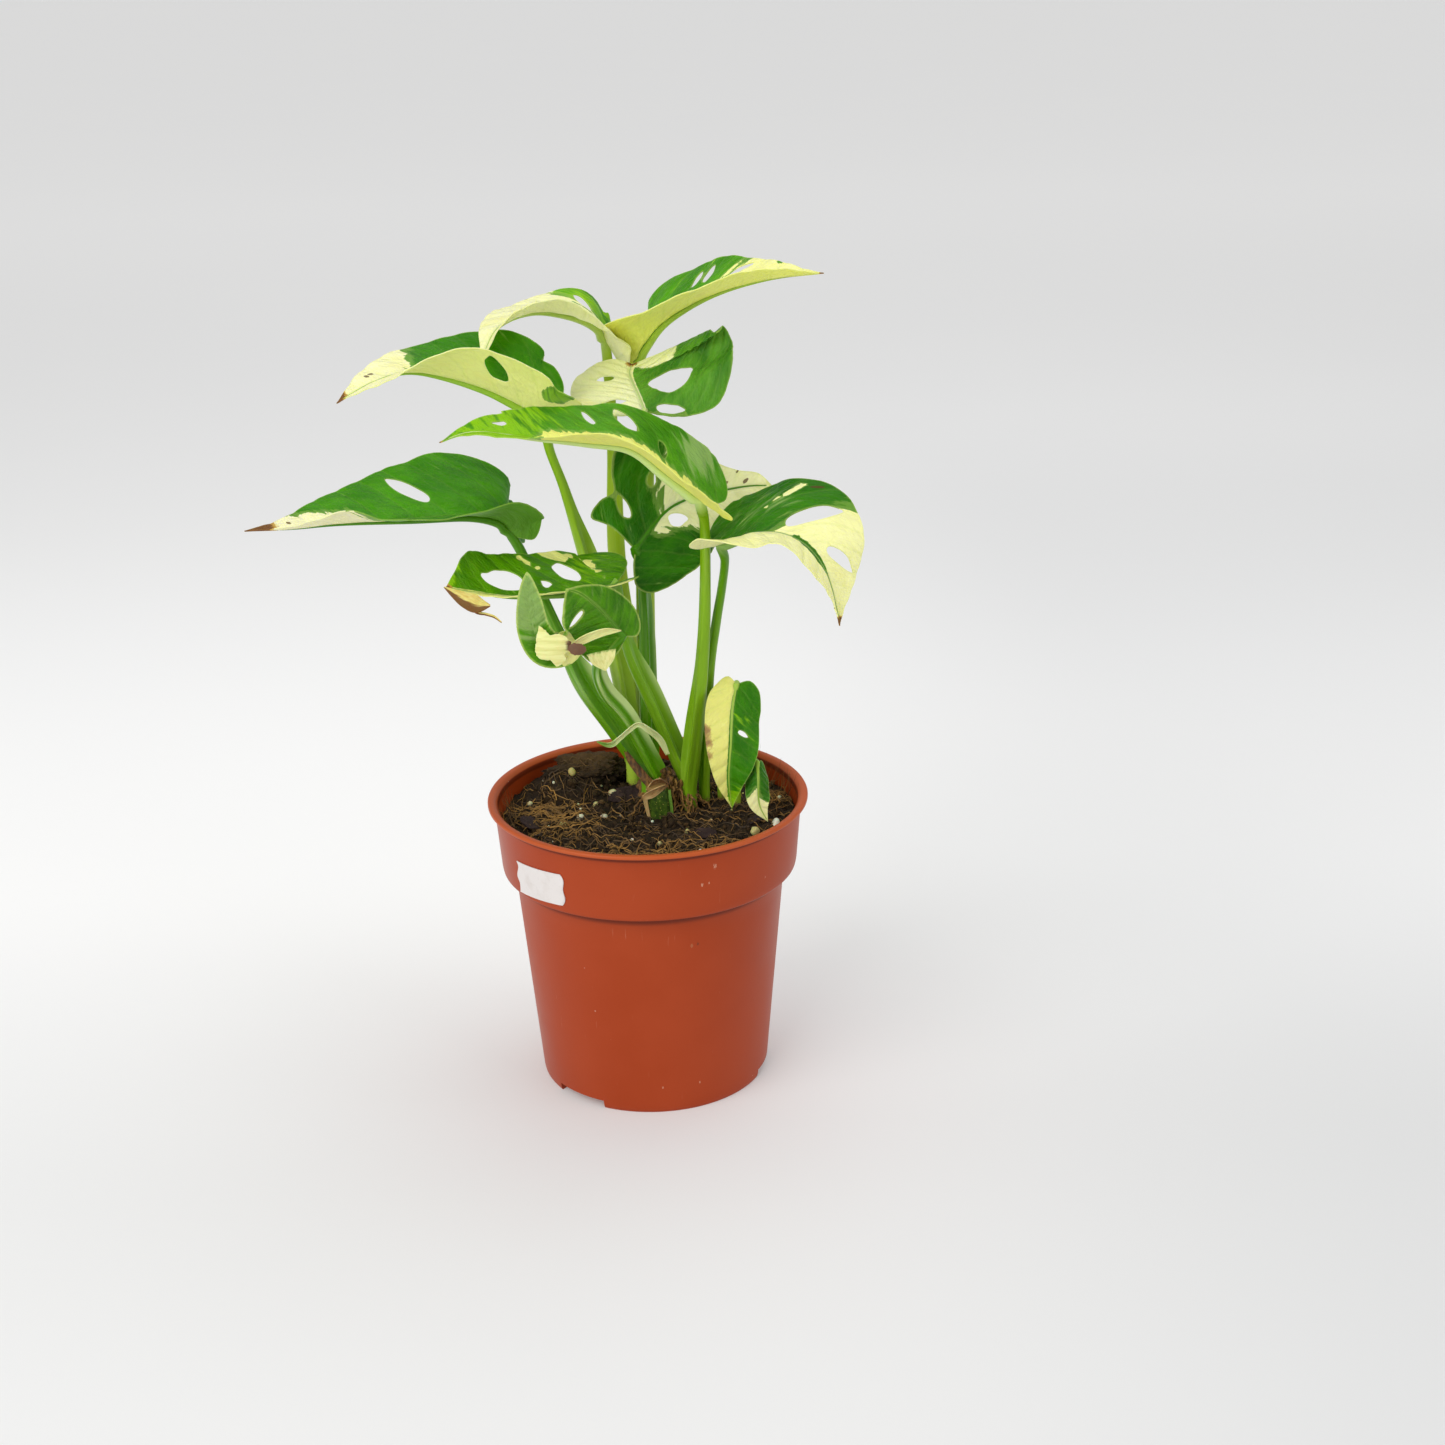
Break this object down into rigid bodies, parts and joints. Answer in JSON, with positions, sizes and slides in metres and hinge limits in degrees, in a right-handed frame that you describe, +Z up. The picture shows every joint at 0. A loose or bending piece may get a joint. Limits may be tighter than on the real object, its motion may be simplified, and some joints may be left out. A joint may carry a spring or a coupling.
{
  "type": "potted variegated swiss cheese vine",
  "caption": "Young variegated swiss cheese vine with pierced leaves on arching petioles, standing in a filled round plastic nursery pot with a deep rim band and a blank label",
  "frame": {"origin": "middle of the pot's base, on the surface it rests on", "axes": "+Z up along the pot's axis, -Y towards the viewer of the picture, +X to the right"},
  "size_m": [0.2213, 0.1305, 0.304],
  "materials": {
    "pot": "satin moulded plastic",
    "price_label": "matt paper sticker",
    "soil": null,
    "vine_stem": "matt brown stem",
    "cut_petiole": "green stalk, dry cut top",
    "leaf_top_right": "glossy leaf, variegated green and cream",
    "leaf_top_middle": "glossy leaf, variegated green and cream",
    "leaf_upper_left": "glossy leaf, variegated green and cream",
    "leaf_upper_centre": "glossy leaf, variegated green and cream",
    "leaf_middle_long": "glossy leaf, variegated green and cream",
    "leaf_dark_centre": "glossy leaf, variegated green and cream",
    "leaf_right": "glossy leaf, variegated green and cream",
    "leaf_large_left": "glossy leaf, variegated green and cream",
    "leaf_low_left": "glossy leaf, variegated green and cream",
    "leaf_twisted": "glossy leaf, variegated green and cream",
    "leaf_young": "glossy leaf, variegated green and cream",
    "leaf_rim": "glossy leaf, variegated green and cream"
  },
  "bodies": {
    "root": {"pot": "pot", "price_label": "price_label", "soil": "soil", "vine_stem": "vine_stem", "cut_petiole": "cut_petiole", "leaf_top_right": "leaf_top_right", "leaf_top_middle": "leaf_top_middle", "leaf_upper_left": "leaf_upper_left", "leaf_upper_centre": "leaf_upper_centre", "leaf_middle_long": "leaf_middle_long", "leaf_dark_centre": "leaf_dark_centre", "leaf_right": "leaf_right", "leaf_large_left": "leaf_large_left", "leaf_low_left": "leaf_low_left", "leaf_twisted": "leaf_twisted", "leaf_young": "leaf_young", "leaf_rim": "leaf_rim"}
  },
  "joints": []
}
